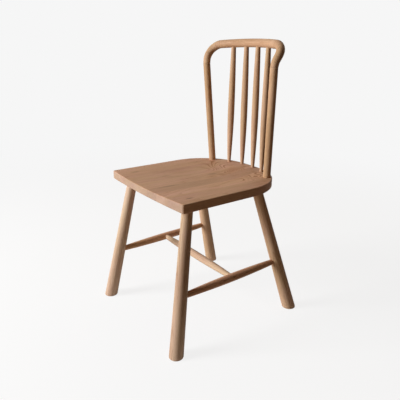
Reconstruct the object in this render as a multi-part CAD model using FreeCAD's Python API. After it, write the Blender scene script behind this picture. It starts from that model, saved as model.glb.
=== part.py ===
import FreeCAD, Part
import math
import os

# Windsor side chair in solid oak: a dished seat glued up from boards, four
# splayed legs, an H stretcher, a bow made of five lengths and four spindles.
# Millimetres. The chair faces -Y, +Z is up and +X is the sitter's left.
# While the shapes are built, Y is counted backwards from close to the seat's
# front corners. The last step moves all of them so that the feet are centred.

# seat
seat_height = 451.0
seat_thickness = 26.0
seat_half_width = 202.2
seat_back_y = 419.0
front_corner_y = -1.4
front_bow = 6.6
back_arc_radius = 700.0
shoulder_arc_radius = 168.0
front_corner_radius = 7.0
top_edge_round = 2.6
bottom_edge_chamfer = 1.8
board_seams = [-121.0, -34.0, 28.0, 79.0, 134.0]

# dish in the top of the seat
dish_depth = 8.5
dish_side_margin = 14.0
dish_back_margin = 41.0
dish_deepest_y = 225.0
dish_share_at_front = 0.38
dish_points_across = 29
dish_points_along = 31

# legs: a top stands this far inside the seat's side and its front or back edge,
# and the foot is splayed this far outwards and forwards or backwards from it
front_leg_inset = (47.0, 47.4)
front_leg_splay = (53.6, 77.0)
back_leg_inset = (47.4, 116.0)
back_leg_splay = (60.7, 121.4)
leg_top_radius = 15.6
leg_foot_radius = 21.25
foot_round = 2.6
leg_tenon_radius = 11.0
leg_tenon_rise = 17.0

# stretchers
stretcher_height_at_front = 172.7
stretcher_height_at_back = 178.4
stretcher_end_radius = 7.6
stretcher_middle_radius = 12.5
cross_end_radius = 7.4
cross_middle_radius = 12.2
stretcher_tenon_radius = 6.0
stretcher_tenon_length = 15.0
cross_tenon_radius = 4.6
cross_tenon_length = 10.0

# bow: its foot stands on the seat, and its points are given as distances
# outwards from that foot, behind it and above the seat
upright_foot_x = 138.0
upright_edge_inset = 16.8
upright_radius = 11.7
upright_tenon_radius = 8.5
corner_start = (19.2, -17.3, 330.0)
corner_way = [
    (20.9, -14.7, 345.0),
    (22.9, -6.4, 360.5),
    (20.2, 2.4, 372.9),
    (10.7, 10.6, 383.2),
]
rail_end = (-10.5, 19.5, 391.4)
rail_set_back = 22.6
rail_rise = 4.2
rail_radius = 12.9
corner_start_lean = (0.09, 0.15, 0.98)
corner_lead_in = 5.0
seat_socket_depth = 17.0
dowel_radius = 4.0
dowel_reach_straight = 18.0
dowel_reach_corner = 13.0
dowel_chamfer = 0.8

# spindles, outer pair and inner pair
spindle_foot_x = [81.6, 26.7]
spindle_top_x = [79.6, 26.4]
spindle_edge_inset = [19.9, 15.9]
spindle_seat_radius = 5.6
spindle_widest_radius = 11.0
spindle_rail_radius = 7.1
spindle_widest_share = 0.45
spindle_curve_power = 1.8
spindle_tenon_radius = 4.6
spindle_top_tenon_length = 12.0

# clearances
glue_gap = 0.06
socket_bottom_gap = 0.6

# helper shapes: how far a tenon is rooted in its own piece, how far a blank
# runs past the cut at its end, the blocks that cut, and the finest length
tenon_root = 12.0
overrun = 30.0
end_overrun = 10.0
leg_overrun_share = 0.12
large_block = 1500.0
small_block = 60.0
tiny = 0.01
spindle_steps = 24
stretcher_steps = 16

UP = FreeCAD.Vector(0, 0, 1)
SIDES = [("left", 1), ("right", -1)]
underside = seat_height - seat_thickness
back_arc_centre_y = seat_back_y - back_arc_radius
dish_half_width = seat_half_width - dish_side_margin
dish_back_y = seat_back_y - dish_back_margin
front_leg_top = (seat_half_width - front_leg_inset[0], front_corner_y + front_leg_inset[1])
front_leg_foot = (front_leg_top[0] + front_leg_splay[0], front_leg_top[1] - front_leg_splay[1])
back_leg_top = (seat_half_width - back_leg_inset[0], seat_back_y - back_leg_inset[1])
back_leg_foot = (back_leg_top[0] + back_leg_splay[0], back_leg_top[1] + back_leg_splay[1])


def vec(p):
    return FreeCAD.Vector(p[0], p[1], p[2])


def unit(v):
    w = FreeCAD.Vector(v)
    w.normalize()
    return w


def mixed(a, b, share):
    return a + (b - a) * share


def rod(start, end, radius):
    way = end - start
    return Part.makeCylinder(radius, way.Length, start, way)


def taper(start, end, start_radius, end_radius):
    way = end - start
    return Part.makeCone(start_radius, end_radius, way.Length, start, way)


def half_space(point, normal, size=large_block):
    """A big block on the side of the plane that the normal points to."""
    block = Part.makeBox(size, size, size)
    block.translate(FreeCAD.Vector(-size / 2, -size / 2, 0))
    turn = FreeCAD.Rotation(UP, normal)
    block.Placement = FreeCAD.Placement(point, turn).multiply(block.Placement)
    return block


def turned(start, end, radius_at, steps):
    """A body turned on the line start to end, with radius_at(share) along it."""
    length = (end - start).Length
    outline = []
    for i in range(steps + 1):
        share = i / steps
        outline.append(FreeCAD.Vector(radius_at(share), 0, share * length))
    curve = Part.BSplineCurve()
    curve.interpolate(outline)
    foot = FreeCAD.Vector(0, 0, 0)
    head = FreeCAD.Vector(0, 0, length)
    edges = [
        curve.toShape(),
        Part.makeLine(outline[-1], head),
        Part.makeLine(head, foot),
        Part.makeLine(foot, outline[0]),
    ]
    face = Part.Face(Part.Wire(edges))
    body = face.revolve(foot, UP, 360)
    turn = FreeCAD.Rotation(UP, end - start)
    body.Placement = FreeCAD.Placement(start, turn)
    return body


def swelling(end_radius, middle_radius):
    def radius_at(share):
        return middle_radius - (middle_radius - end_radius) * (2 * share - 1) ** 2
    return radius_at


def one_solid(shape):
    """The single solid of a shape, with its split faces joined."""
    clean = shape.removeSplitter()
    solids = sorted(clean.Solids, key=lambda s: s.Volume)
    return solids[-1]


# Outline of the seat, and the line on which the sticks stand.

def shoulder_centre():
    x = seat_half_width - shoulder_arc_radius
    reach = back_arc_radius - shoulder_arc_radius
    return x, back_arc_centre_y + math.sqrt(reach ** 2 - x ** 2)


def stick_y(x, inset):
    """How far back a stick stands that is set in by inset from the seat's edge."""
    cx, cy = shoulder_centre()
    back = back_arc_radius - inset
    shoulder = shoulder_arc_radius - inset
    meets_at = cx / (back_arc_radius - shoulder_arc_radius) * back
    if abs(x) < meets_at:
        return back_arc_centre_y + math.sqrt(back ** 2 - x ** 2)
    return cy + math.sqrt(shoulder ** 2 - (abs(x) - cx) ** 2)


def seat_outline(z):
    cx, cy = shoulder_centre()
    w = seat_half_width
    reach = back_arc_radius - shoulder_arc_radius
    out = FreeCAD.Vector(cx / reach, (cy - back_arc_centre_y) / reach, 0)
    centre = FreeCAD.Vector(0, back_arc_centre_y, 0)
    joint = centre + out * back_arc_radius
    half = math.sqrt(0.5)
    bend = FreeCAD.Vector(cx, cy, 0) + unit(out + FreeCAD.Vector(1, 0, 0)) * shoulder_arc_radius

    def at(x, y):
        return FreeCAD.Vector(x, y, z)

    def mirrored(p):
        return at(-p.x, p.y)

    front = front_corner_y
    edges = [
        Part.Arc(at(-w, front), at(0, front - front_bow), at(w, front)).toShape(),
        Part.makeLine(at(w, front), at(w, cy)),
        Part.Arc(at(w, cy), at(bend.x, bend.y), at(joint.x, joint.y)).toShape(),
        Part.Arc(at(joint.x, joint.y), at(0, seat_back_y), mirrored(joint)).toShape(),
        Part.Arc(mirrored(joint), mirrored(bend), at(-w, cy)).toShape(),
        Part.makeLine(at(-w, cy), at(-w, front)),
    ]
    return Part.Face(Part.Wire(edges))


def fade(share):
    """1 in the middle of the dish and 0 at its rim, level at both."""
    if share >= 1:
        return 0.0
    return (1 - share ** 3) ** 2


def dish_at(x, y):
    across = fade(abs(x) / dish_half_width)
    if y > dish_deepest_y:
        along = fade((y - dish_deepest_y) / (dish_back_y - dish_deepest_y))
    else:
        share = min(1.0, (dish_deepest_y - y) / dish_deepest_y)
        ease = share * share * (3 - 2 * share)
        along = 1 - (1 - dish_share_at_front) * ease
    return dish_depth * across * along


def above_the_seat():
    """Everything above the dished top: a curved sheet drawn upwards."""
    x_reach = seat_half_width + end_overrun
    y_first = front_corner_y - front_bow - end_overrun
    y_last = seat_back_y + end_overrun
    rows = []
    for i in range(dish_points_across):
        x = -x_reach + 2 * x_reach * i / (dish_points_across - 1)
        row = []
        for j in range(dish_points_along):
            y = y_first + (y_last - y_first) * j / (dish_points_along - 1)
            row.append(FreeCAD.Vector(x, y, seat_height - dish_at(x, y)))
        rows.append(row)
    sheet = Part.BSplineSurface()
    sheet.interpolate(rows)
    return sheet.toShape().extrude(UP * 3 * seat_thickness)


def whole_seat():
    block = seat_outline(underside).extrude(UP * (seat_thickness + end_overrun))
    corners = []
    for edge in block.Edges:
        box = edge.BoundBox
        if box.ZLength > seat_thickness and box.YMax < front_corner_y + tiny:
            corners.append(edge)
    block = block.makeFillet(front_corner_radius, corners)
    return one_solid(block.cut(above_the_seat()))


def rim_edges(board, at_top):
    """The outer edges of a board's top or bottom, without its glued ones."""
    rim = []
    for edge in board.Edges:
        box = edge.BoundBox
        glued = box.XLength < tiny and abs(edge.CenterOfMass.x) < seat_half_width - tiny
        high = box.ZMin > underside + seat_thickness / 2
        low = box.ZMax < underside + tiny
        if not glued and (high if at_top else low):
            rim.append(edge)
    return rim


def softened(board):
    """A board with its top rim rounded and its bottom rim chamfered."""
    board = board.makeFillet(top_edge_round, rim_edges(board, True))
    return board.makeChamfer(bottom_edge_chamfer, rim_edges(board, False))


# Legs

def leg_line(top, foot, side):
    start = FreeCAD.Vector(side * top[0], top[1], underside)
    end = FreeCAD.Vector(side * foot[0], foot[1], 0)
    return start, end


def leg_cone(top, foot, side):
    """The leg's taper, run a little past both ends."""
    start, end = leg_line(top, foot, side)
    grow = (leg_foot_radius - leg_top_radius) * leg_overrun_share
    extra = (end - start) * leg_overrun_share
    return taper(start - extra, end + extra, leg_top_radius - grow, leg_foot_radius + grow)


def leg_body(top, foot, side):
    cone = leg_cone(top, foot, side)
    body = cone.cut(half_space(FreeCAD.Vector(0, 0, underside), UP))
    body = body.cut(half_space(FreeCAD.Vector(0, 0, 0), UP * -1))
    rim = [e for e in body.Edges if e.BoundBox.ZMax < tiny]
    body = body.makeFillet(foot_round, rim)
    start, end = leg_line(top, foot, side)
    rise = (start - end) * (leg_tenon_rise / underside)
    tenon = rod(start - rise, start + rise, leg_tenon_radius)
    return one_solid(body.fuse(tenon))


def leg_socket(top, foot, side):
    start, end = leg_line(top, foot, side)
    rise = (start - end) * ((leg_tenon_rise + socket_bottom_gap) / underside)
    return rod(start - rise, start + rise, leg_tenon_radius + glue_gap)


def on_leg(top, foot, side, height):
    start, end = leg_line(top, foot, side)
    return mixed(end, start, height / underside)


def leg_radius_at(height):
    return leg_foot_radius + (leg_top_radius - leg_foot_radius) * height / underside


# Bow

def upright_foot():
    y = stick_y(upright_foot_x, upright_edge_inset)
    return FreeCAD.Vector(upright_foot_x, y, seat_height)


def bow_point(offsets):
    return upright_foot() + vec(offsets)


def rail_middle():
    end = bow_point(rail_end)
    return FreeCAD.Vector(0, end.y + rail_set_back, end.z + rail_rise)


def rail_arc():
    """Centre line of the top rail, its end point and its direction there."""
    end = bow_point(rail_end)
    other = FreeCAD.Vector(-end.x, end.y, end.z)
    arc = Part.Arc(other, rail_middle(), end)
    edge = arc.toShape()
    inward = edge.tangentAt(edge.LastParameter) * -1
    return edge, end, unit(inward)


def rail_at(x):
    """Point on the rail's centre line at a given distance from the middle."""
    end = bow_point(rail_end)
    middle = rail_middle()
    drop = FreeCAD.Vector(0, end.y - middle.y, end.z - middle.z)
    sag = drop.Length
    radius = (end.x ** 2 + sag ** 2) / (2 * sag)
    fall = radius - math.sqrt(radius ** 2 - x ** 2)
    return FreeCAD.Vector(x, middle.y, middle.z) + unit(drop) * fall


def swept(path_edges, sections):
    pipe = Part.BRepOffsetAPI.MakePipeShell(Part.Wire(path_edges))
    for section in sections:
        pipe.add(section)
    pipe.build()
    pipe.makeSolid()
    return pipe.shape()


def ring(centre, normal, radius):
    return Part.Wire([Part.makeCircle(radius, centre, normal)])


def upright_line():
    return upright_foot(), bow_point(corner_start)


def mitre():
    """The plane where an upright meets its corner: a point and its normal."""
    base, top = upright_line()
    normal = unit(unit(top - base) + unit(vec(corner_start_lean)))
    return top, normal


def corner_body():
    lean = unit(vec(corner_start_lean))
    start = bow_point(corner_start)
    lead = start - lean * corner_lead_in
    edge, end, inward = rail_arc()
    points = [start] + [bow_point(p) for p in corner_way] + [end]
    curve = Part.BSplineCurve()
    curve.interpolate(Points=points, InitialTangent=lean, FinalTangent=inward)
    path = [Part.makeLine(lead, start), curve.toShape()]
    sections = [ring(lead, lean, upright_radius), ring(end, inward, rail_radius)]
    body = swept(path, sections)
    point, normal = mitre()
    return one_solid(body.cut(half_space(point, normal * -1, small_block)))


def upright_body():
    base, top = upright_line()
    way = unit(top - base)
    bar = rod(base - way * overrun, top + way * end_overrun, upright_radius)
    point, normal = mitre()
    bar = bar.cut(half_space(point, normal, small_block))
    bar = bar.cut(half_space(FreeCAD.Vector(0, 0, seat_height), UP * -1))
    tenon = rod(base - way * seat_socket_depth, base + way * tenon_root, upright_tenon_radius)
    return one_solid(bar.fuse(tenon))


def seat_socket(base, top, radius):
    way = unit(top - base)
    depth = seat_socket_depth + socket_bottom_gap
    return rod(base - way * depth, base + way * overrun, radius + glue_gap)


def dowel(point, way, reach_behind, reach_ahead):
    start = point - way * reach_behind
    end = point + way * reach_ahead
    peg = rod(start, end, dowel_radius)
    return peg.makeChamfer(dowel_chamfer, [e for e in peg.Edges if len(e.Vertexes) == 1])


def dowel_hole(point, way, reach_behind, reach_ahead):
    start = point - way * (reach_behind + socket_bottom_gap)
    end = point + way * (reach_ahead + socket_bottom_gap)
    return rod(start, end, dowel_radius + glue_gap)


# Spindles

def spindle_radius(share):
    if share < spindle_widest_share:
        from_widest = (spindle_widest_share - share) / spindle_widest_share
        end_radius = spindle_seat_radius
    else:
        from_widest = (share - spindle_widest_share) / (1 - spindle_widest_share)
        end_radius = spindle_rail_radius
    from_widest = min(1.0, from_widest)
    loss = (spindle_widest_radius - end_radius) * from_widest ** spindle_curve_power
    return spindle_widest_radius - loss


def spindle_line(i, side):
    x = spindle_foot_x[i]
    foot = FreeCAD.Vector(side * x, stick_y(x, spindle_edge_inset[i]), seat_height)
    return foot, rail_at(side * spindle_top_x[i])


def spindle_body(base, top, rail):
    way = unit(top - base)
    body = turned(base, top, spindle_radius, spindle_steps)
    body = body.cut(half_space(FreeCAD.Vector(0, 0, seat_height), UP * -1))
    body = one_solid(body.cut(rail))
    low = rod(base - way * seat_socket_depth, base + way * tenon_root, spindle_tenon_radius)
    surface = top - way * rail_radius
    high = rod(surface - way * tenon_root, surface + way * spindle_top_tenon_length,
               spindle_tenon_radius)
    return one_solid(body.fuse([low, high]))


def spindle_rail_socket(base, top):
    way = unit(top - base)
    surface = top - way * rail_radius
    end = surface + way * (spindle_top_tenon_length + socket_bottom_gap)
    return rod(surface - way * tenon_root, end, spindle_tenon_radius + glue_gap)


# Stretchers

def stretcher(start, end, radius_at, hosts, host_radii, tenon_radius, tenon_length):
    """A turned rail between two hosts, its shoulders fitted to their surfaces."""
    way = unit(end - start)
    body = turned(start, end, radius_at, stretcher_steps)
    body = one_solid(body.cut(hosts[0]).cut(hosts[1]))
    first = start + way * (host_radii[0] - tenon_length)
    last = end - way * (host_radii[1] - tenon_length)
    tenons = [
        rod(first, first + way * (tenon_length + tenon_root), tenon_radius),
        rod(last - way * (tenon_length + tenon_root), last, tenon_radius),
    ]
    return one_solid(body.fuse(tenons))


def stretcher_sockets(start, end, host_radii, tenon_radius, tenon_length):
    way = unit(end - start)
    first = start + way * (host_radii[0] - tenon_length - socket_bottom_gap)
    last = end - way * (host_radii[1] - tenon_length - socket_bottom_gap)
    reach = tenon_length + tenon_root
    return [
        rod(first, first + way * reach, tenon_radius + glue_gap),
        rod(last - way * reach, last, tenon_radius + glue_gap),
    ]


parts = {}
seat = whole_seat()
seat_holes = []

# legs and side stretchers
leg_places = [("front", front_leg_top, front_leg_foot), ("back", back_leg_top, back_leg_foot)]
side_lines = {}
for side_name, side in SIDES:
    heights = {"front": stretcher_height_at_front, "back": stretcher_height_at_back}
    ends = []
    hosts = []
    host_radii = []
    for end_name, top, foot in leg_places:
        ends.append(on_leg(top, foot, side, heights[end_name]))
        hosts.append(leg_cone(top, foot, side))
        host_radii.append(leg_radius_at(heights[end_name]))
    shape = stretcher(ends[0], ends[1], swelling(stretcher_end_radius, stretcher_middle_radius),
                      hosts, host_radii, stretcher_tenon_radius, stretcher_tenon_length)
    holes = stretcher_sockets(ends[0], ends[1], host_radii,
                              stretcher_tenon_radius, stretcher_tenon_length)
    parts["side_stretcher_" + side_name] = shape
    side_lines[side_name] = (ends[0], ends[1])
    for k in range(2):
        end_name, top, foot = leg_places[k]
        leg = leg_body(top, foot, side).cut(holes[k])
        parts["leg_" + end_name + "_" + side_name] = one_solid(leg)
        seat_holes.append(leg_socket(top, foot, side))

# cross stretcher between the middles of the side stretchers
cross_ends = [mixed(side_lines[n][0], side_lines[n][1], 0.5) for n in ("right", "left")]
cross_hosts = []
for side_name, side in reversed(SIDES):
    a, b = side_lines[side_name]
    outline = swelling(stretcher_end_radius, stretcher_middle_radius)
    cross_hosts.append(turned(a, b, outline, stretcher_steps))
middle_radii = [stretcher_middle_radius, stretcher_middle_radius]
parts["cross_stretcher"] = stretcher(
    cross_ends[0], cross_ends[1], swelling(cross_end_radius, cross_middle_radius),
    cross_hosts, middle_radii, cross_tenon_radius, cross_tenon_length)
cross_holes = stretcher_sockets(cross_ends[0], cross_ends[1], middle_radii,
                                cross_tenon_radius, cross_tenon_length)
for k, name in enumerate(["side_stretcher_right", "side_stretcher_left"]):
    parts[name] = one_solid(parts[name].cut(cross_holes[k]))

# bow: the left half is built and then mirrored
across = FreeCAD.Vector(1, 0, 0)
middle_plane = FreeCAD.Vector(0, 0, 0)
arc_edge, rail_tip, rail_inward = rail_arc()
rail_start = FreeCAD.Vector(-rail_tip.x, rail_tip.y, rail_tip.z)
start_way = unit(arc_edge.tangentAt(arc_edge.FirstParameter))
rail = swept([arc_edge], [ring(rail_start, start_way, rail_radius)])
plain_rail = rail.copy()

upright_base, upright_top = upright_line()
upright_way = unit(upright_top - upright_base)
low_dowel = (upright_top, upright_way, dowel_reach_straight, dowel_reach_corner)
high_dowel = (rail_tip, rail_inward, dowel_reach_corner, dowel_reach_straight)
upright = one_solid(upright_body().cut(dowel_hole(*low_dowel)))
corner = corner_body()
corner = one_solid(corner.cut([dowel_hole(*low_dowel), dowel_hole(*high_dowel)]))
rail_holes = [dowel_hole(*high_dowel)]
rail_holes.append(rail_holes[0].mirror(middle_plane, across))
socket = seat_socket(upright_base, upright_top, upright_tenon_radius)
seat_holes += [socket, socket.mirror(middle_plane, across)]
bow_pieces = [
    ("upright", upright),
    ("bow_corner", corner),
    ("dowel_low", dowel(*low_dowel)),
    ("dowel_high", dowel(*high_dowel)),
]
for name, shape in bow_pieces:
    parts[name + "_left"] = shape
    parts[name + "_right"] = one_solid(shape.mirror(middle_plane, across))

# spindles, numbered from the sitter's right
order = [(0, -1), (1, -1), (1, 1), (0, 1)]
for number, (i, side) in enumerate(order, start=1):
    base, top = spindle_line(i, side)
    parts["spindle_" + str(number)] = spindle_body(base, top, plain_rail)
    seat_holes.append(seat_socket(base, top, spindle_tenon_radius))
    rail_holes.append(spindle_rail_socket(base, top))
parts["top_rail"] = one_solid(rail.cut(rail_holes))

# seat boards, numbered from the sitter's right
outer = seat_half_width + end_overrun
limits = [-outer] + board_seams + [outer]
slab_front = front_corner_y - front_bow - end_overrun
slab_depth = seat_back_y + end_overrun - slab_front
for k in range(len(limits) - 1):
    slab = Part.makeBox(limits[k + 1] - limits[k], slab_depth, seat_thickness + 2 * end_overrun,
                        FreeCAD.Vector(limits[k], slab_front, underside - end_overrun))
    board = softened(one_solid(seat.common(slab)))
    parts["seat_board_" + str(k + 1)] = one_solid(board.cut(seat_holes))

# centre the feet on the origin and write the files
legs = Part.makeCompound([parts[n] for n in parts if n.startswith("leg_")])
box = legs.optimalBoundingBox(False, False)
shift = FreeCAD.Vector(0, -(box.YMin + box.YMax) / 2, 0)
os.makedirs("parts", exist_ok=True)
for name in sorted(parts):
    shape = parts[name].copy()
    shape.translate(shift)
    print(name, "valid", shape.isValid(), "solids", len(shape.Solids),
          "faces", len(shape.Faces), "volume", round(shape.Volume / 1000, 1))
    shape.exportStep("parts/" + name + ".step")
print("moved back to front by", round(shift.y, 3), "feet wide", round(box.XLength, 2),
      "feet deep", round(box.YLength, 2))
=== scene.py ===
# %% [markdown]
# # An oak windsor chair
#
# This file dresses the measured model of a windsor chair: a dished seat glued
# up from boards, four splayed legs, an H stretcher, a bow made of five lengths
# and four spindles. Each step first says what the piece is on the real chair
# and how it could be made, and then makes it. All sizes are in metres. The
# chair faces -Y, +Z is up and +X is the sitter's left.

# %% Load the measured frame
import math
import bpy
import bmesh
from mathutils import Matrix, Vector


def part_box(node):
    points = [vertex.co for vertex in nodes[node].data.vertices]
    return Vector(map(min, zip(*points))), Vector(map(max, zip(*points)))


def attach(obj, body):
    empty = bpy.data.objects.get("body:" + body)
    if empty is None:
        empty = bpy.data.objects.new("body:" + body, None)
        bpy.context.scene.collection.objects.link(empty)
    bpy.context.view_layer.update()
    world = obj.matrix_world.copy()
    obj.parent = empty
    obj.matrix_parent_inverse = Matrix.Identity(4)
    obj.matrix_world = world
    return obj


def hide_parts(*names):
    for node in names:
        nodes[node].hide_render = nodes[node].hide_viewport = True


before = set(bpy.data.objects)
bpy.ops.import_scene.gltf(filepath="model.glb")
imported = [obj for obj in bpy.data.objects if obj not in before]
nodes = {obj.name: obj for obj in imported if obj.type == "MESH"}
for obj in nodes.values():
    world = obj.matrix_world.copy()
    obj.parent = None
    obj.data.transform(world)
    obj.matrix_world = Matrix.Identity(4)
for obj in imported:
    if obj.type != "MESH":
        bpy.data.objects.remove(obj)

scene = bpy.context.scene
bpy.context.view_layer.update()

# %% [markdown]
# ## The camera
#
# A camera's place can be guessed by eye or worked out. Here it was worked out:
# the lines of the legs and the seat fix where the lens stood. It was close to
# the chair, so near pieces look much larger than far ones. The camera is given
# by the point that it looks at, its bearing round the chair, its height angle
# and its distance, because those four are easy to read and to change.

# %% Place the camera
LOOK_AT = Vector((0.0711, -0.0468, 0.3973))
BEARING = math.radians(53.33)
HEIGHT_ANGLE = math.radians(19.32)
LEAN = math.radians(0.61)
DISTANCE = 1.3291
FOCAL_PIXELS = 440.33
IMAGE_WIDTH = 400


def aim_camera():
    back = Vector((math.sin(BEARING) * math.cos(HEIGHT_ANGLE),
                   -math.cos(BEARING) * math.cos(HEIGHT_ANGLE),
                   math.sin(HEIGHT_ANGLE)))
    right = Vector((0, 0, 1)).cross(back).normalized()
    up = back.cross(right)
    turned_right = right * math.cos(LEAN) + up * math.sin(LEAN)
    turned_up = up * math.cos(LEAN) - right * math.sin(LEAN)
    data = bpy.data.cameras.new("camera")
    data.sensor_width = 36.0
    data.lens = FOCAL_PIXELS / IMAGE_WIDTH * data.sensor_width
    data.clip_end = 200.0
    data.dof.use_dof = False
    camera = bpy.data.objects.new("camera", data)
    turn = Matrix((turned_right, turned_up, back)).transposed().to_4x4()
    camera.matrix_world = Matrix.Translation(LOOK_AT + back * DISTANCE) @ turn
    scene.collection.objects.link(camera)
    scene.camera = camera
    return camera


camera = aim_camera()
print("camera at", [round(v, 3) for v in camera.matrix_world.translation])

# %% [markdown]
# ## Writing shaders as sums
#
# A node tree can be wired by hand, one link at a time, but then a formula is
# hard to read. The small class below holds one socket and understands + - * /
# so that a formula on it adds its own Math nodes. Every other node comes from
# the same `node` method: first its settings, then the values or links of its
# inputs. The geometry trees further down use it too.

# %% A socket that understands arithmetic
class Wire:
    """One output socket of the tree that is being written."""
    tree = None

    def __init__(self, socket):
        self.socket = socket

    @classmethod
    def node(cls, kind, settings=None, inputs=None, out=0):
        made = cls.tree.nodes.new(kind)
        for name, value in (settings or {}).items():
            if name == "stops":
                ramp = made.color_ramp.elements
                while len(ramp) < len(value):
                    ramp.new(0.5)
                for stop, (place, colour) in zip(ramp, value):
                    stop.position = place
                    stop.color = (*colour, 1.0)
            else:
                setattr(made, name, value)
        for name, value in (inputs or {}).items():
            if isinstance(value, Wire):
                cls.tree.links.new(value.socket, made.inputs[name])
            else:
                made.inputs[name].default_value = value
        return cls(made.outputs[out])

    @classmethod
    def maths(cls, operation, a, b=0.0):
        return cls.node("ShaderNodeMath", {"operation": operation}, {0: a, 1: b})

    def __add__(self, other):
        return Wire.maths("ADD", self, other)

    def __radd__(self, other):
        return Wire.maths("ADD", other, self)

    def __sub__(self, other):
        return Wire.maths("SUBTRACT", self, other)

    def __rsub__(self, other):
        return Wire.maths("SUBTRACT", other, self)

    def __mul__(self, other):
        return Wire.maths("MULTIPLY", self, other)

    def __rmul__(self, other):
        return Wire.maths("MULTIPLY", other, self)

    def __truediv__(self, other):
        return Wire.maths("DIVIDE", self, other)

    def __rtruediv__(self, other):
        return Wire.maths("DIVIDE", other, self)

    def __pow__(self, other):
        return Wire.maths("POWER", self, other)


def vectors(operation, a, b=(0, 0, 0)):
    return Wire.node("ShaderNodeVectorMath", {"operation": operation}, {0: a, 1: b})


def mix_colours(share, a, b, how="MIX"):
    settings = {"data_type": "RGBA", "blend_type": how}
    fill = {0: share, 6: a, 7: b}
    return Wire.node("ShaderNodeMix", settings, fill, out=2)


def ramped(value, low, high, to_low=0.0, to_high=1.0):
    """value taken smoothly from low..high to to_low..to_high."""
    fill = {"Value": value, 1: low, 2: high, 3: to_low, 4: to_high}
    return Wire.node("ShaderNodeMapRange", {"interpolation_type": "SMOOTHSTEP"}, fill)


print("shader helpers ready")

# %% [markdown]
# ## Oak
#
# Oak could be a flat brown or a photo stretched over the surface. Here it is
# solid: the pattern fills space, so a board shows long grain on its top and
# rings on its sawn end, as real wood does. Growth rings are tubes round the
# heart of the tree, which lies outside the piece. Each ring starts with coarse
# early wood full of open pores and ends in dense, smooth late wood. Thin rays
# run outwards from the heart and show as pale flecks. All of it is measured in
# the piece's own grain direction, with a Mapping node that lays the grain
# along Z.

# %% Oak's colours and its grain space
OAK_PINK = (0.650, 0.438, 0.312)
OAK_STRAW = (0.635, 0.452, 0.288)
OAK_DEEP = (0.39, 0.215, 0.118)
PORE = (0.17, 0.090, 0.050)
DARK_STREAK = (0.20, 0.125, 0.078)
RED_STREAK = (0.36, 0.165, 0.085)
PALE_STREAK = (0.72, 0.505, 0.375)
# painted highlight: the greyer, bluer tint that sawn ends get stands in for the washed-out light
# on the seat's lit front edge
SAWN_HIGHLIGHT_TINT = (0.80, 0.92, 1.08)


def grain_turn(along, roll):
    """The turn that takes +Z to the grain's direction, rolled about it."""
    return Vector(along).to_track_quat("Z", "Y") @ Matrix.Rotation(roll, 3, "Z").to_quaternion()


def grain_space(origin, along, roll):
    """Object coordinates turned so that Z runs along the grain."""
    place = Wire.node("ShaderNodeTexCoord", out=3)
    return Wire.node("ShaderNodeMapping", {"vector_type": "TEXTURE"},
                     {"Vector": place, "Location": tuple(origin),
                      "Rotation": tuple(grain_turn(along, roll).to_euler())})


def noise(place, stretch, scale, detail=2.0, rough=0.5):
    spread = vectors("MULTIPLY", place, stretch)
    return Wire.node("ShaderNodeTexNoise", {"noise_dimensions": "3D"},
                     {"Vector": spread, "Scale": scale, "Detail": detail, "Roughness": rough})


def nearness(place, centre, reach):
    """1 at the centre, falling smoothly to 0 at an oval's edge."""
    away = vectors("DIVIDE", vectors("SUBTRACT", place, centre), reach)
    far = Wire.node("ShaderNodeVectorMath", {"operation": "LENGTH"}, {0: away}, out=1)
    return ramped(far, 0.0, 1.0, 1.0, 0.0)


print("grain helpers ready")


# %% The growth rings
BEND_SCALE = 7.0
BEND_REACH = 0.030
WOBBLE_SCALE = 24.0
WOBBLE_REACH = 0.0045
RAY_SCALE = 120.0
PORE_SCALE = 950.0


def growth_rings(place, heart, ring, knots):
    """Where a point lies in its year's ring, 0 to 1, and which year that is."""
    bend = noise(place, (1, 1, 0.35), BEND_SCALE, 2.0)
    wobble = noise(place, (1, 1, 0.30), WOBBLE_SCALE, 2.0)
    flat = vectors("MULTIPLY", vectors("SUBTRACT", place, (*heart, 0.0)), (1, 1, 0))
    out = Wire.node("ShaderNodeVectorMath", {"operation": "LENGTH"}, {0: flat}, out=1)
    out = out + (bend - 0.5) * BEND_REACH + (wobble - 0.5) * WOBBLE_REACH
    for centre, reach, lift in knots:
        out = out + nearness(place, centre, reach) * lift
    turns = out / ring
    return Wire.maths("FRACT", turns), Wire.maths("FLOOR", turns), out


def rays(place, heart, out):
    """Thin pale flecks that point away from the heart."""
    away = vectors("SUBTRACT", place, (*heart, 0.0))
    x, y, z = [Wire.node("ShaderNodeSeparateXYZ", None, {0: away}, out=i) for i in range(3)]
    spread = math.hypot(*heart) * 9.0
    fan = Wire.node("ShaderNodeCombineXYZ", None,
                    {0: Wire.maths("ARCTAN2", y, x) * spread, 1: out * 1.3, 2: z * 0.6})
    flecks = Wire.node("ShaderNodeTexNoise", {"noise_dimensions": "3D"},
                       {"Vector": fan, "Scale": RAY_SCALE, "Detail": 1.0})
    return ramped(flecks, 0.60, 0.72)


def open_pores(place, early):
    """Short dark dashes along the grain, most of them in the early wood."""
    cells = Wire.node("ShaderNodeTexVoronoi", {"feature": "F1", "voronoi_dimensions": "3D"},
                      {"Vector": vectors("MULTIPLY", place, (1, 1, 0.055)),
                       "Scale": PORE_SCALE, "Randomness": 1.0})
    return ramped(cells, 0.20, 0.34, 1.0, 0.0) * (0.18 + 0.82 * early)


print("ring, ray and pore helpers ready")


# %% The oak shader
FIBRE_SCALE = 900.0
THREAD_SCALE = 160.0
BAND_SCALE = 38.0
BLUSH_SCALE = 22.0
CLOUD_SCALE = 9.0
BLUSH_SHIFT = (3.1, 1.7, 0.4)


def along_grain(place):
    return Wire.node("ShaderNodeSeparateXYZ", None, {0: place}, out=2)


def shade(colour, tone, more=1.0):
    return (*[min(1.0, c * t * more) for c, t in zip(colour, tone)], 1)


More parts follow.
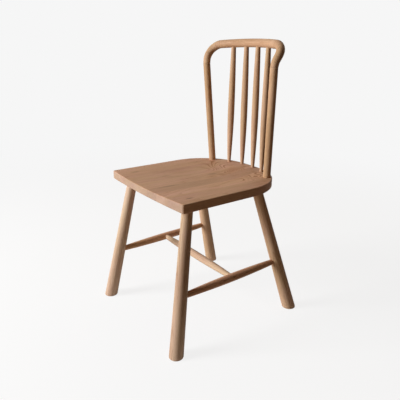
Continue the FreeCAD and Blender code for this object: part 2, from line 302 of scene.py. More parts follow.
def oak(name, origin, along, roll=0.0, heart=(0.07, 0.03), ring=0.0032, tone=(1.0, 1.0, 1.0),
        streaks=1.0, slip=0.0, figure=(0.50, 0.50, 0.0, 1.0), knots=(), stains=()):
    """A solid oak for one piece. tone tints it, slip moves the pattern along the grain.

    figure is how strongly the rings show: from one strength to another between
    two places along the grain. knots lift the rings into closed ovals, and
    stains are soft streaks of another colour.
    """
    material = bpy.data.materials.new(name)
    material.use_nodes = True
    tree = material.node_tree
    tree.nodes.clear()
    Wire.tree = tree
    own = grain_space(origin, along, roll)
    place = vectors("ADD", own, (0, 0, slip))
    knots_here = [((x, y, z + slip), reach, lift) for (x, y, z), reach, lift in knots]
    phase, count, out = growth_rings(place, heart, ring, knots_here)
    # early wood fades into late wood, and no two years are alike
    year = Wire.node("ShaderNodeTexWhiteNoise", {"noise_dimensions": "1D"}, {"W": count})
    early = ramped(phase, 0.02, 0.55, 1.0, 0.0) * ramped(phase, 0.0, 0.05)
    early = early * (0.30 + 0.80 * year ** 1.5)
    pores = open_pores(place, early)
    flecks = rays(place, heart, out)
    # streaks from the finest fibre to the broadest cloud
    fibre = noise(place, (1, 1, 0.02), FIBRE_SCALE, 3.0, 0.6)
    thread = noise(place, (1, 1, 0.10), THREAD_SCALE, 3.0, 0.6)
    band = noise(place, (1, 1, 0.09), BAND_SCALE, 3.0, 0.55)
    cloud = noise(place, (1, 1, 0.5), CLOUD_SCALE, 2.0)
    shifted = vectors("ADD", place, BLUSH_SHIFT)
    blush = ramped(noise(shifted, (1, 1, 0.3), BLUSH_SCALE, 2.0), 0.35, 0.65)
    strength = ramped(along_grain(own), figure[2], figure[3], figure[0], figure[1])
    depth = (strength * early + (band - 0.5) * (0.95 * streaks) + (thread - 0.5) * (0.75 * streaks)
             + (fibre - 0.5) * 0.42 + (cloud - 0.5) * (0.8 * streaks) + 0.14)
    depth = Wire.node("ShaderNodeClamp", None, {"Value": depth})
    pale = mix_colours(blush, shade(OAK_PINK, tone), shade(OAK_STRAW, tone))
    colour = mix_colours(depth, pale, shade(OAK_DEEP, tone))
    colour = mix_colours(flecks * 0.16, colour, shade(OAK_PINK, tone, 1.18))
    for centre, reach, share, stain in stains:
        colour = mix_colours(nearness(own, centre, reach) * share * (0.4 + 1.2 * thread),
                             colour, shade(stain, tone))
    colour = mix_colours(pores * 0.62, colour, shade(PORE, tone))
    # painted highlight: sawn ends, above all the seat's lit front edge, are tinted greyer and
    # bluer to stand in for the washed-out look that strong light gives them
    normal = Wire.node("ShaderNodeTexCoord", out=1)
    way = tuple(Vector(along).normalized())
    facing = Wire.node("ShaderNodeVectorMath", {"operation": "DOT_PRODUCT"},
                       {0: normal, 1: way}, out=1)
    sawn_highlight = ramped(Wire.maths("ABSOLUTE", facing), 0.55, 0.95)
    colour = mix_colours(sawn_highlight, colour, (*SAWN_HIGHLIGHT_TINT, 1), "MULTIPLY")
    rough = 0.58 + 0.10 * (fibre - 0.5) + 0.12 * early + 0.10 * pores
    height = (1.0 - pores) * 0.6 - early * 0.12 + fibre * 0.12
    bump = Wire.node("ShaderNodeBump", None,
                     {"Strength": 0.35, "Distance": 0.0003, "Height": height})
    shader = Wire.node("ShaderNodeBsdfPrincipled", None,
                       {"Base Color": colour, "Roughness": rough, "Normal": bump,
                        "IOR": 1.45, "Specular IOR Level": 0.15})
    end = tree.nodes.new("ShaderNodeOutputMaterial")
    tree.links.new(shader.socket, end.inputs["Surface"])
    return material


print("oak shader ready")

# %% [markdown]
# ## The seat boards
#
# The seat is six boards glued edge to edge, planed, dished with a scoop and
# sanded. The measured solids already have the right shape, so they stay, and
# only their finish is made here. Each board comes from another part of a tree:
# it gets its own distance from the heart, its own roll and its own tone, and
# that is what lets the glue lines show. Where the dish cuts up through the
# rings near the back, they draw nested arches. Three knots and some soft
# streaks stand about where the real seat has them.

# %% Finish each seat board
BOARD_EDGES = [-0.2022, -0.121, -0.034, 0.028, 0.079, 0.134, 0.2022]
SEAT_HEIGHT = 0.451
FACE_DOWN = math.radians(180)
SEAT_TINT = (1.155, 1.02, 0.97)
BOARD_LOOKS = [
    # roll in degrees, heart to the right and below, ring, tone, slip
    (8, (-0.050, 0.110), 0.0030, 0.86, 0.31),
    (-6, (-0.022, 0.190), 0.0036, 0.825, 1.27),
    (4, (0.030, 0.120), 0.0032, 0.855, 2.41),
    (12, (0.060, 0.090), 0.0028, 0.775, 3.13),
    (-9, (-0.020, 0.160), 0.0022, 0.89, 4.60),
    (5, (0.040, 0.100), 0.0030, 0.815, 5.22),
]
# soft streaks: the board, its place (right of the middle, frame y), reach across and along,
# share and colour
BOARD_STREAKS = [
    (1, (0.014, -0.146), (0.008, 0.022), 0.40, DARK_STREAK),
    (2, (0.011, -0.083), (0.006, 0.030), 0.40, DARK_STREAK),
    (3, (-0.006, 0.062), (0.014, 0.028), 0.45, DARK_STREAK),
    (3, (0.008, 0.138), (0.032, 0.040), 0.55, RED_STREAK),
    (2, (-0.025, 0.130), (0.020, 0.050), 0.30, RED_STREAK),
    (3, (0.000, -0.120), (0.026, 0.090), 0.30, PALE_STREAK),
    (4, (-0.020, -0.133), (0.009, 0.055), 0.45, DARK_STREAK),
    (5, (0.004, -0.120), (0.020, 0.110), 0.35, PALE_STREAK),
    (6, (-0.002, -0.153), (0.007, 0.020), 0.75, DARK_STREAK),
]
KNOTS = [
    # the board, its place, reach across and along, lift of the rings
    (2, (0.030, 0.146), (0.070, 0.060), 0.016),
    (3, (0.010, 0.138), (0.040, 0.045), -0.014),
    (5, (0.000, 0.138), (0.040, 0.045), 0.008),
]
KNOT_DEPTH = 0.05
FIGURE_GROWS = (0.060, 0.110)
FIGURE_IN_FRONT = 0.30
FIGURE_BEHIND = 1.7
BOARD_STREAKINESS = 0.72


def board_finish(number, look):
    roll, heart, ring, tone, slip = look
    middle = (BOARD_EDGES[number - 1] + BOARD_EDGES[number]) / 2
    stains = [((x, 0, y), (across, KNOT_DEPTH, along), share, colour)
              for board, (x, y), (across, along), share, colour in BOARD_STREAKS
              if board == number]
    knots = [((x, 0, y), (across, KNOT_DEPTH, along), lift)
             for board, (x, y), (across, along), lift in KNOTS if board == number]
    return oak("oak_seat_board_%d" % number, (middle, 0, SEAT_HEIGHT), (0, 1, 0),
               FACE_DOWN + math.radians(roll), heart, ring, [tone * t for t in SEAT_TINT],
               streaks=BOARD_STREAKINESS, slip=slip,
               figure=(FIGURE_IN_FRONT, FIGURE_BEHIND, *FIGURE_GROWS),
               knots=knots, stains=stains)


for number, look in enumerate(BOARD_LOOKS, start=1):
    node = nodes["seat_board_%d" % number]
    node.data.materials.clear()
    node.data.materials.append(board_finish(number, look))
print("seat boards:", len(BOARD_LOOKS), "streaks:", len(BOARD_STREAKS), "knots:", len(KNOTS))

# %% [markdown]
# ## Turned sticks
#
# The four spindles and the three stretchers are turned on a lathe: a square
# stick is spun and a gouge brings it to a swelling outline. All seven follow
# one rule, a widest place that thins towards both ends, so one small Geometry
# Nodes tree makes them all. It draws the centre line, cuts it into rings, and
# pulls a circle along it, scaled by the rule. Each stick runs a little way into
# the pieces that hold it, so that no gap can show at its ends.

# %% The tree that turns a stick
TURNED_INPUTS = [
    ("Start", "NodeSocketVector"), ("End", "NodeSocketVector"),
    ("Reach", "NodeSocketFloat"), ("Start Radius", "NodeSocketFloat"),
    ("Widest Radius", "NodeSocketFloat"), ("End Radius", "NodeSocketFloat"),
    ("Widest Share", "NodeSocketFloat"), ("Power", "NodeSocketFloat"),
    ("Rings", "NodeSocketInt"), ("Sides", "NodeSocketInt"),
    ("Material", "NodeSocketMaterial"),
]


def turned_tree():
    tree = bpy.data.node_groups.new("turned_stick", "GeometryNodeTree")
    tree.interface.new_socket("Geometry", in_out="INPUT", socket_type="NodeSocketGeometry")
    for label, kind in TURNED_INPUTS:
        tree.interface.new_socket(label, in_out="INPUT", socket_type=kind)
    tree.interface.new_socket("Geometry", in_out="OUTPUT", socket_type="NodeSocketGeometry")
    Wire.tree = tree
    group = tree.nodes.new("NodeGroupInput")
    given = {label: Wire(group.outputs[label]) for label, kind in TURNED_INPUTS}
    whole = vectors("SUBTRACT", given["End"], given["Start"])
    length = Wire.node("ShaderNodeVectorMath", {"operation": "LENGTH"}, {0: whole}, out=1)
    more = Wire.node("ShaderNodeVectorMath", {"operation": "SCALE"},
                     {0: whole, 3: given["Reach"] / length})
    line = Wire.node("GeometryNodeCurvePrimitiveLine", {"mode": "POINTS"},
                     {"Start": vectors("SUBTRACT", given["Start"], more),
                      "End": vectors("ADD", given["End"], more)})
    rings = Wire.node("GeometryNodeResampleCurve", None, {"Curve": line, "Count": given["Rings"]})
    along = Wire.node("GeometryNodeSplineParameter", None, None, out=1)
    share = (along - given["Reach"]) / length
    widest = given["Widest Share"]
    before = Wire.maths("LESS_THAN", share, widest)
    thin = given["End Radius"] + (given["Start Radius"] - given["End Radius"]) * before
    span = (1.0 - widest) + (2.0 * widest - 1.0) * before
    off = Wire.maths("MINIMUM", Wire.maths("ABSOLUTE", share - widest) / span, 1.0)
    radius = given["Widest Radius"] - (given["Widest Radius"] - thin) * off ** given["Power"]
    circle = Wire.node("GeometryNodeCurvePrimitiveCircle", None,
                       {"Resolution": given["Sides"], "Radius": 1.0})
    skin = Wire.node("GeometryNodeCurveToMesh", None,
                     {"Curve": rings, "Profile Curve": circle, "Scale": radius,
                      "Fill Caps": True})
    smooth = Wire.node("GeometryNodeSetShadeSmooth", None, {"Geometry": skin})
    whole = Wire.node("GeometryNodeRealizeInstances", None, {"Geometry": smooth})
    coated = Wire.node("GeometryNodeSetMaterial", None,
                       {"Geometry": whole, "Material": given["Material"]})
    end = tree.nodes.new("NodeGroupOutput")
    tree.links.new(coated.socket, end.inputs["Geometry"])
    return tree


TURNED = turned_tree()
print("turned tree nodes:", len(TURNED.nodes))

# %% Helpers that turn a stick and hand a piece over
def hand_over(piece, node_name):
    """Put a finished piece in place of its measured solid."""
    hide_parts(node_name)
    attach(piece, "root")


def turned(name, values, material):
    """Run the tree once and keep its result as a plain mesh."""
    holder = bpy.data.objects.new(name + "_holder", bpy.data.meshes.new(name + "_holder"))
    scene.collection.objects.link(holder)
    modifier = holder.modifiers.new("turned", "NODES")
    modifier.node_group = TURNED
    fill = dict(values)
    fill["Material"] = material
    for item in TURNED.interface.items_tree:
        if item.in_out == "INPUT" and item.name in fill:
            modifier[item.identifier] = fill[item.name]
    bpy.context.view_layer.update()
    ready = holder.evaluated_get(bpy.context.evaluated_depsgraph_get())
    mesh = bpy.data.meshes.new_from_object(ready)
    mesh.name = name
    bpy.data.objects.remove(holder)
    piece = bpy.data.objects.new(name, mesh)
    scene.collection.objects.link(piece)
    outward(mesh)
    return piece


def outward(mesh):
    work = bmesh.new()
    work.from_mesh(mesh)
    bmesh.ops.remove_doubles(work, verts=work.verts, dist=1e-6)
    bmesh.ops.recalc_face_normals(work, faces=work.faces)
    work.to_mesh(mesh)
    work.free()


print("stick helpers ready")

# %% [markdown]
# ## Where the sticks stand
#
# The spindles stand on the seat a little inside its back edge, and end on the
# centre line of the top rail, which is an arc of a circle. Distances backwards
# are counted from near the seat's front corners, as a maker would mark them
# out, and one shift turns them into frame positions. The measures are those of
# the measured model, so that each new piece lies in the space of the solid that
# it stands for.

# %% The rail's arc
MARKING_LINE_Y = -0.196799


def marked(x, behind, height):
    """A frame position from a distance behind the marking line."""
    return Vector((x, behind + MARKING_LINE_Y, height))


RAIL_END = marked(0.1275, 0.3793, 0.8424)
RAIL_MIDDLE = marked(0.0, 0.4019, 0.8466)


def rail_at(x):
    """Point of the rail's centre line at x from the middle."""
    drop = Vector((0, RAIL_END.y - RAIL_MIDDLE.y, RAIL_END.z - RAIL_MIDDLE.z))
    sag = drop.length
    radius = (RAIL_END.x ** 2 + sag ** 2) / (2 * sag)
    fall = radius - math.sqrt(radius ** 2 - x ** 2)
    return Vector((x, RAIL_MIDDLE.y, RAIL_MIDDLE.z)) + drop.normalized() * fall


print("rail from", [round(v, 4) for v in RAIL_END], "through", [round(v, 4) for v in RAIL_MIDDLE])

# %% [markdown]
# ## Spindles
#
# Each spindle leaves the seat as a thin neck, swells to its widest a little
# below its middle, and thins again towards the rail. They are straight-grained
# pieces, because a stick with crossing grain would snap, so their grain runs
# from end to end. Each is cut from another place along the oak.

# %% Turn the spindles
SPINDLE_FEET = [(-0.0816, 0.3902), (-0.0267, 0.4026), (0.0267, 0.4026), (0.0816, 0.3902)]
SPINDLE_TOPS = [-0.0796, -0.0264, 0.0264, 0.0796]
SPINDLE = {"Reach": 0.003, "Start Radius": 0.0056, "Widest Radius": 0.0110,
           "End Radius": 0.0071, "Widest Share": 0.45, "Power": 1.8,
           "Rings": 72, "Sides": 40}
SPINDLE_TONES = [0.95, 0.93, 0.96, 0.93]
SPINDLE_TINT = (1.0, 0.98, 0.92)
for number, (place, top_x) in enumerate(zip(SPINDLE_FEET, SPINDLE_TOPS), start=1):
    foot = marked(*place, SEAT_HEIGHT)
    top = rail_at(top_x)
    name = "spindle_%d" % number
    finish = oak("oak_" + name, foot, top - foot, number * 1.7,
                 (0.05 + 0.01 * number, 0.02 * number - 0.04), 0.0026,
                 [SPINDLE_TONES[number - 1] * t for t in SPINDLE_TINT], slip=7.0 + number * 1.31)
    piece = turned("turned_" + name, {**SPINDLE, "Start": foot, "End": top}, finish)
    hand_over(piece, name)
print("spindles:", len(SPINDLE_FEET), "faces each:", len(piece.data.polygons))

# %% [markdown]
# ## Legs
#
# The legs splay outwards and thicken towards the floor. Each is a straight
# taper, cut level with the seat's underside at its top and level with the floor
# at its foot, where the sharp rim has been rounded over. A plain cone would end
# square to its own slanted line, so the legs are built from level rings: every
# ring is the oval in which a level plane cuts the cone.

# %% Build the legs from level rings
UNDERSIDE = 0.425
LEG_TOP_RADIUS = 0.0156
LEG_FOOT_RADIUS = 0.02125
FOOT_ROUND = 0.0026
LEG_TOPS = {"front": (0.1552, 0.0460), "back": (0.1548, 0.3030)}
LEG_FEET = {"front": (0.2088, -0.0310), "back": (0.2155, 0.4244)}
LEG_SIDES = 64
INTO_THE_SEAT = 0.003
FOOT_INNER_RING = 2.2
ROUND_STEPS = 6
TAPER_STEPS = 40


def leg_ends(end_name, side):
    top_x, top_y = LEG_TOPS[end_name]
    foot_x, foot_y = LEG_FEET[end_name]
    return marked(side * top_x, top_y, UNDERSIDE), marked(side * foot_x, foot_y, 0.0)


def leg_levels():
    """Heights of the rings, and how far each is drawn in by the rounded rim."""
    levels = [(0.0, FOOT_ROUND * FOOT_INNER_RING), (0.0, FOOT_ROUND)]
    for step in range(1, ROUND_STEPS + 1):
        angle = math.radians(90) * step / ROUND_STEPS
        levels.append((FOOT_ROUND * (1 - math.cos(angle)), FOOT_ROUND * (1 - math.sin(angle))))
    top = UNDERSIDE + INTO_THE_SEAT
    for step in range(1, TAPER_STEPS + 1):
        levels.append((FOOT_ROUND + (top - FOOT_ROUND) * step / TAPER_STEPS, 0.0))
    return levels


def tube_mesh(name, rings):
    """A closed skin over a list of rings that all have the same count of points."""
    work = bmesh.new()
    loops = [[work.verts.new(p) for p in ring] for ring in rings]
    for low, high in zip(loops, loops[1:]):
        for i in range(len(low)):
            j = (i + 1) % len(low)
            work.faces.new((low[i], low[j], high[j], high[i])).smooth = True
    for loop in (loops[0], loops[-1]):
        work.faces.new(loop)
    bmesh.ops.recalc_face_normals(work, faces=work.faces)
    mesh = bpy.data.meshes.new(name)
    work.to_mesh(mesh)
    work.free()
    return mesh


def leg_rings(top, foot):
    axis = (top - foot).normalized()
    across = axis.cross(Vector((0, 1, 0))).normalized()
    beside = axis.cross(across)
    rings = []
    for height, drawn_in in leg_levels():
        centre = foot + (top - foot) * (height / UNDERSIDE)
        ring = []
        for k in range(LEG_SIDES):
            angle = 2 * math.pi * k / LEG_SIDES
            out = across * math.cos(angle) + beside * math.sin(angle)
            slide = -out.z / axis.z
            # the taper, read where this point comes to lie
            radius = LEG_FOOT_RADIUS
            for repeat in range(2):
                at = height - out.z * radius
                radius = LEG_FOOT_RADIUS + (LEG_TOP_RADIUS - LEG_FOOT_RADIUS) * at / UNDERSIDE
            ring.append(centre + (out + axis * slide) * (radius - drawn_in))
        rings.append(ring)
    return rings


SIDES = {"left": 1, "right": -1}
LEG_LOOKS = {
    # roll, tone in red, green and blue, slip
    "front_left": (0.4, (0.93, 0.96, 1.00), 11.0),
    "front_right": (1.3, (1.01, 1.09, 1.18), 12.4),
    "back_left": (2.2, (1.03, 1.02, 0.98), 13.9),
    "back_right": (3.1, (1.03, 1.01, 0.99), 15.1),
}
for end_name in ("front", "back"):
    for side_name, side in SIDES.items():
        key = end_name + "_" + side_name
        top, foot = leg_ends(end_name, side)
        roll, tone, slip = LEG_LOOKS[key]
        finish = oak("oak_leg_" + key, foot, top - foot, roll, (0.055, 0.03), 0.0032,
                     tone, 1.25, slip)
        mesh = tube_mesh("tapered_leg_" + key, leg_rings(top, foot))
        mesh.materials.append(finish)
        piece = bpy.data.objects.new("tapered_leg_" + key, mesh)
        scene.collection.objects.link(piece)
        hand_over(piece, "leg_" + key)
print("leg rings:", len(leg_levels()), "faces:", len(mesh.polygons))

# %% [markdown]
# ## Stretchers
#
# Three turned rails keep the legs from spreading: one on each side, and one
# across between the middles of those two. On the real chair their thin ends are
# glued into holes bored in the legs. They come from the same tree as the
# spindles, with the widest place half way along.

# %% Turn the stretchers
STRETCHER_FRONT_HEIGHT = 0.1727
STRETCHER_BACK_HEIGHT = 0.1784
SIDE_STRETCHER = {"Reach": 0.0, "Start Radius": 0.0076, "Widest Radius": 0.0125,
                  "End Radius": 0.0076, "Widest Share": 0.5, "Power": 2.0,
                  "Rings": 72, "Sides": 44}
CROSS_STRETCHER = {**SIDE_STRETCHER, "Start Radius": 0.0074, "Widest Radius": 0.0122,
                   "End Radius": 0.0074}


def on_leg(end_name, side, height):
    top, foot = leg_ends(end_name, side)
    return foot + (top - foot) * (height / UNDERSIDE)


middles = []
for side_name, side in SIDES.items():
    start = on_leg("front", side, STRETCHER_FRONT_HEIGHT)
    end = on_leg("back", side, STRETCHER_BACK_HEIGHT)
    middles.append((start + end) / 2)
    name = "side_stretcher_" + side_name
    # partly painted shade: the side stretchers stand in shade, and the tone (1.06, 0.94, 0.84)
    # makes their oak warmer and deeper for it; the rest is their own tone
    finish = oak("oak_" + name, start, end - start, 1.0 + side, (0.045, 0.03), 0.0028,
                 (1.06, 0.94, 0.84), slip=20.0 + side)
    piece = turned("turned_" + name, {**SIDE_STRETCHER, "Start": start, "End": end}, finish)
    hand_over(piece, name)
# partly painted highlight: the cross stretcher faces the lamp, and the tone (1.02, 1.07, 1.10)
# makes its oak paler and greyer for it; the rest is its own tone
finish = oak("oak_cross_stretcher", middles[1], middles[0] - middles[1], 0.6, (0.04, 0.035),
             0.0028, (1.02, 1.07, 1.10), slip=24.0)
piece = turned("turned_cross_stretcher",
               {**CROSS_STRETCHER, "Start": middles[1], "End": middles[0]}, finish)
hand_over(piece, "cross_stretcher")
print("stretcher middles:", [[round(v, 4) for v in m] for m in middles])

# %% [markdown]
# ## The bow
#
# The bow is not bent by steam here: it is made of five lengths, jointed end to
# end with hidden dowels and then rounded over in one go. So the surface runs
# on from length to length, while the grain and the tone change at each joint.
# The skin is one row of rings along the whole centre line, and each length
# takes its share of them. Neighbours share the ring at their joint, and a very
# fine chamfer there draws the line that the eye sees on the real chair.

# %% The bow's centre line
UPRIGHT_FOOT = marked(0.138, 0.3598, SEAT_HEIGHT)
UPRIGHT_RADIUS = 0.0117
RAIL_RADIUS = 0.0129
CORNER_LEAN = Vector((0.09, 0.15, 0.98)).normalized()
CORNER_WAY = [(0.1572, 0.3425, 0.7810), (0.1589, 0.3451, 0.7960), (0.1609, 0.3534, 0.8115),
              (0.1582, 0.3622, 0.8239), (0.1487, 0.3704, 0.8342), (0.1275, 0.3793, 0.8424)]
CORNER_STEPS = 12
STRAIGHT_STEPS = 24


def spline_through(points, first_way, last_way):
    """Tangents of the smoothest curve through the points, its two end ones given."""
    count = len(points)
    gaps = [(b - a).length for a, b in zip(points, points[1:])]
    # one equation for each inner point, solved by sweeping down and back up
    below, middle, above, right = [0.0], [1.0], [0.0], [first_way]
    for i in range(1, count - 1):
        h0, h1 = gaps[i - 1], gaps[i]
        below.append(h1)
        middle.append(2 * (h0 + h1))
        above.append(h0)
        right.append(3 * ((points[i] - points[i - 1]) * (h1 / h0)
                          + (points[i + 1] - points[i]) * (h0 / h1)))
    below.append(0.0)
    middle.append(1.0)
    above.append(0.0)
    right.append(last_way)
    for i in range(1, count):
        factor = below[i] / middle[i - 1]
        middle[i] -= factor * above[i - 1]
        right[i] = right[i] - right[i - 1] * factor
    ways = [None] * count
    ways[-1] = right[-1] / middle[-1]
    for i in reversed(range(count - 1)):
        ways[i] = (right[i] - ways[i + 1] * above[i]) / middle[i]
    return gaps, ways


def curve_points(points, first_way, last_way, steps):
    gaps, ways = spline_through(points, first_way, last_way)
    out = []
    for i, h in enumerate(gaps):
        for k in range(steps):
            t = k / steps
            out.append(points[i] * (1 + 2 * t) * (1 - t) ** 2 + points[i + 1] * t * t * (3 - 2 * t)
                       + (ways[i] * t * (1 - t) ** 2 - ways[i + 1] * t * t * (1 - t)) * h)
    return out + [points[-1]]


def bow_centre_line():
    """Points from the left joint of the seat over the top: the upright, the corner and the rail.
    """
    corner = [marked(*place) for place in CORNER_WAY]
    rail_way = (rail_at(0.120) - rail_at(0.135)).normalized()
    turn = curve_points(corner, CORNER_LEAN, rail_way, CORNER_STEPS)
    up = corner[0] - UPRIGHT_FOOT
    foot = UPRIGHT_FOOT - up.normalized() * INTO_THE_SEAT
    straight = [foot + (corner[0] - foot) * (k / STRAIGHT_STEPS) for k in range(STRAIGHT_STEPS)]
    top = [rail_at(RAIL_END.x * (1 - k / STRAIGHT_STEPS)) for k in range(1, STRAIGHT_STEPS)]
    return straight, turn, top


straight, turn, top = bow_centre_line()
print("bow points:", len(straight), len(turn), len(top))

# %% Cut the bow into its five lengths
BOW_SIDES = 48
JOINT_CHAMFER = 0.0004


def mirrored(points):
    return [Vector((-p.x, p.y, p.z)) for p in reversed(points)]


def rings_along(points, radii):
    """Round rings on a path, each in the plane that halves the path's turn."""
    ways = []
    for i in range(len(points)):
        a = points[max(i - 1, 0)]
        b = points[min(i + 1, len(points) - 1)]
        before = (points[i] - a).normalized() if i else Vector()
        after = (b - points[i]).normalized() if i < len(points) - 1 else Vector()
        ways.append((before + after).normalized())
    side = ways[0].orthogonal().normalized()
    rings = []
    for point, way, radius in zip(points, ways, radii):
        side = (side - way * side.dot(way)).normalized()
        beside = way.cross(side)
        rings.append([point + (side * math.cos(a) + beside * math.sin(a)) * radius
                      for a in [2 * math.pi * k / BOW_SIDES for k in range(BOW_SIDES)]])
    return rings, ways


line = straight + turn + top + [rail_at(0.0)] + mirrored(straight + turn + top)
first = len(straight)
last = first + len(turn) - 1
half_radii = [UPRIGHT_RADIUS] * (first + 1)
half_radii += [UPRIGHT_RADIUS + (RAIL_RADIUS - UPRIGHT_RADIUS) * k / (last - first)
               for k in range(1, last - first + 1)]
half_radii += [RAIL_RADIUS] * len(top)
rings, ways = rings_along(line, half_radii + [RAIL_RADIUS] + half_radii[::-1])
end = len(line) - 1
BOW_LENGTHS = {
    "upright_left": (0, first), "bow_corner_left": (first, last),
    "top_rail": (last, end - last), "bow_corner_right": (end - last, end - first),
    "upright_right": (end - first, end),
}


def drawn_in_ring(index, step, inset):
    """A ring moved a step along the bow and made smaller, for a joint's chamfer."""
    centre = line[index] + ways[index] * step
    return [centre + (p - line[index]) * (1 - inset / (p - line[index]).length)
            for p in rings[index]]


def bow_length(name, start, stop):
    """The rings of one length, its ends chamfered very slightly."""
    own = [drawn_in_ring(start, 0.0, JOINT_CHAMFER), drawn_in_ring(start, JOINT_CHAMFER, 0.0)]
    own += rings[start + 1:stop]
    own += [drawn_in_ring(stop, -JOINT_CHAMFER, 0.0), drawn_in_ring(stop, 0.0, JOINT_CHAMFER)]
    return tube_mesh(name, own)


BOW_TINT = (1.01, 0.955, 0.85)
BOW_LOOKS = {
    "upright_left": (0.3, (0.05, 0.03), 0.92, 31.0),
    "upright_right": (1.9, (0.04, 0.045), 0.90, 32.7),
    "bow_corner_left": (0.8, (0.03, 0.04), 0.88, 34.2),
    "bow_corner_right": (2.4, (0.035, 0.03), 0.88, 35.9),
    "top_rail": (1.2, (0.05, 0.035), 0.92, 37.7),
}
for name, (start, stop) in BOW_LENGTHS.items():
    roll, heart, tone, slip = BOW_LOOKS[name]
    finish = oak("oak_" + name, line[start], line[stop] - line[start], roll, heart, 0.0030,
                 [tone * t for t in BOW_TINT], 1.35, slip)
    mesh = bow_length("jointed_" + name, start, stop)
    mesh.materials.append(finish)
    piece = bpy.data.objects.new("jointed_" + name, mesh)
    scene.collection.objects.link(piece)
    hand_over(piece, name)
print("bow lengths:", list(BOW_LENGTHS))

# %% [markdown]
# ## Dowels
#
# Four short beech dowels pin the bow's joints. They are hidden inside the wood,
# and their measured solids are right as they are. They get plain beech, which
# is paler and closer than oak, with short fine flecks.

# %% Finish the dowels
def beech(name, origin, along):
    material = bpy.data.materials.new(name)
    material.use_nodes = True
    tree = material.node_tree
    tree.nodes.clear()
    Wire.tree = tree
    place = grain_space(origin, along, 0.0)
    fibre = noise(place, (1, 1, 0.04), 800.0, 3.0)
    flecks = ramped(noise(place, (1, 1, 0.15), 1400.0, 1.0), 0.58, 0.70)
    colour = mix_colours(fibre, (0.62, 0.42, 0.28, 1), (0.52, 0.33, 0.20, 1))
    colour = mix_colours(flecks * 0.5, colour, (0.36, 0.20, 0.11, 1))
    bump = Wire.node("ShaderNodeBump", None,
                     {"Strength": 0.2, "Distance": 0.0002, "Height": fibre})
    shader = Wire.node("ShaderNodeBsdfPrincipled", None,
                       {"Base Color": colour, "Roughness": 0.55 + 0.1 * fibre, "Normal": bump})
    end = tree.nodes.new("ShaderNodeOutputMaterial")
    tree.links.new(shader.socket, end.inputs["Surface"])
    return material


dowels = [name for name in nodes if name.startswith("dowel_")]
for name in dowels:
    low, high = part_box(name)
    middle = (Vector(low) + Vector(high)) / 2
    nodes[name].data.materials.clear()
    nodes[name].data.materials.append(beech("beech_" + name, middle, Vector(high) - Vector(low)))
print("dowels:", dowels)

# %% [markdown]
# ## Floor and backdrop
#
# The chair stands in a white studio whose floor and wall are one tone. A real
# white sweep needs a lot of light to look white, and that light would wash out
# the oak. So the camera sees the backdrop as a plain tone, through Light Path.
# The light that reaches the wood comes from the lamps, from a dim world and
# from the floor, which is pale near the chair and dark and warm further off. A
# share of the floor stays a real surface, and so takes the chair's shadow.

# %% Lay the floor and set the world
FLOOR_REACH = 60.0
PAPER = 0.922
SHADOW_SHARE = 0.14
FLOOR_LIT = 0.60
NEAR_BOUNCE = (0.92, 0.89, 0.86)
FAR_BOUNCE = (0.36, 0.24, 0.14)
NEAR_REACH = 0.25
FAR_REACH = 0.65
SHADOW_REACH = (0.7, 2.6)
FILL = (0.044, 0.024, 0.011)


def seen_directly():
    """1 for the camera's, the mirror's and the glass's rays, 0 for light."""
    camera_ray = Wire.node("ShaderNodeLightPath", None, None, out="Is Camera Ray")
    glossy_ray = Wire.node("ShaderNodeLightPath", None, None, out="Is Glossy Ray")
    through_ray = Wire.node("ShaderNodeLightPath", None, None, out="Is Transmission Ray")
    return Wire.node("ShaderNodeClamp", None, {"Value": camera_ray + glossy_ray + through_ray})


def floor_material():
    material = bpy.data.materials.new("pale_floor")
    material.use_nodes = True
    tree = material.node_tree
    tree.nodes.clear()
    Wire.tree = tree
    place = Wire.node("ShaderNodeTexCoord", out=3)
    distance = Wire.node("ShaderNodeVectorMath", {"operation": "LENGTH"}, {0: place}, out=1)
    # the lit share fades out far from the chair, where no shadow falls
    share = ramped(distance, *SHADOW_REACH, SHADOW_SHARE, 0.0)
    glow = (PAPER - share * FLOOR_LIT) / (1.0 - share)
    lit = Wire.node("ShaderNodeBsdfDiffuse", None, {"Color": (1.0, 1.0, 1.0, 1)})
    paper = Wire.node("ShaderNodeEmission", None, {"Strength": glow})
    seen = Wire.node("ShaderNodeMixShader", None, {0: share, 1: paper, 2: lit})
    far = ramped(distance, NEAR_REACH, FAR_REACH)
    tint = mix_colours(far, (*NEAR_BOUNCE, 1), (*FAR_BOUNCE, 1))
    bounce = Wire.node("ShaderNodeBsdfDiffuse", None, {"Color": tint})
    both = Wire.node("ShaderNodeMixShader", None, {0: seen_directly(), 1: bounce, 2: seen})
    end = tree.nodes.new("ShaderNodeOutputMaterial")
    tree.links.new(both.socket, end.inputs["Surface"])
    return material


def lay_floor():
    reach = FLOOR_REACH
    mesh = bpy.data.meshes.new("studio_floor")
    corners = [(-reach, -reach, 0), (reach, -reach, 0), (reach, reach, 0), (-reach, reach, 0)]
    mesh.from_pydata(corners, [], [(0, 1, 2, 3)])
    mesh.materials.append(floor_material())
    floor = bpy.data.objects.new("studio_floor", mesh)
    scene.collection.objects.link(floor)


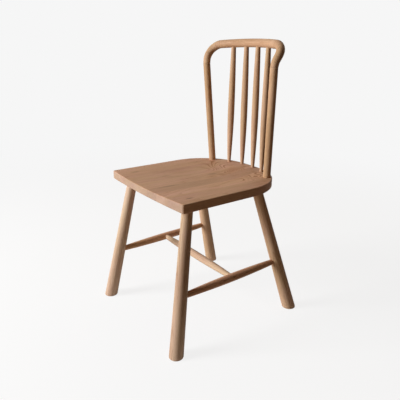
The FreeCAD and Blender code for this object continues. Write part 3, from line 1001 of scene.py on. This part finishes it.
def set_world():
    world = bpy.data.worlds.new("studio")
    world.use_nodes = True
    tree = world.node_tree
    tree.nodes.clear()
    Wire.tree = tree
    dim = Wire.node("ShaderNodeBackground", None, {"Color": (*FILL, 1)})
    paper = Wire.node("ShaderNodeBackground", None, {"Color": (PAPER, PAPER, PAPER, 1)})
    both = Wire.node("ShaderNodeMixShader", None, {0: seen_directly(), 1: dim, 2: paper})
    end = tree.nodes.new("ShaderNodeOutputWorld")
    tree.links.new(both.socket, end.inputs["Surface"])
    scene.world = world


lay_floor()
set_world()
print("floor and world ready")

# %% [markdown]
# ## The lamps
#
# The shading tells where the light stood. The seat's front edge and the left of
# each round stick are bright, the top of the seat is darker, the side towards
# the camera's right is in shade, and near pieces are lit a little more than far
# ones. That is one tall lamp close by, low and in front of the chair, somewhat
# to the sitter's right. A weak, warm lamp high behind the chair keeps the top
# and the backs of the sticks from going black.

# %% Hang the lamps
LAMPS = {
    # bearing and height angle in degrees, distance, width, height, strength at the chair, colour
    "tall_key": (-22.0, 20.0, 3.4, 1.2, 2.3, 4.2, (1.0, 1.0, 1.0)),
    "soft_top": (-150.0, 62.0, 3.0, 2.4, 2.4, 0.45, (1.0, 0.84, 0.66)),
}
LAMP_TARGET = Vector((0.0, 0.0, 0.40))


def hang_lamp(name, bearing, height_angle, distance, width, height, strength, colour):
    bearing, height_angle = math.radians(bearing), math.radians(height_angle)
    data = bpy.data.lights.new(name, "AREA")
    data.shape = "RECTANGLE"
    data.size = width
    data.size_y = height
    data.energy = strength * math.pi * distance ** 2
    data.color = colour
    lamp = bpy.data.objects.new(name, data)
    toward = Vector((math.sin(bearing) * math.cos(height_angle),
                     -math.cos(bearing) * math.cos(height_angle), math.sin(height_angle)))
    turn = toward.to_track_quat("Z", "Y").to_matrix().to_4x4()
    lamp.matrix_world = Matrix.Translation(LAMP_TARGET + toward * distance) @ turn
    lamp.visible_camera = False
    scene.collection.objects.link(lamp)
    return lamp


for name, values in LAMPS.items():
    lamp = hang_lamp(name, *values)
    print(name, "at", [round(v, 2) for v in lamp.matrix_world.translation])
scene.view_settings.view_transform = "Standard"
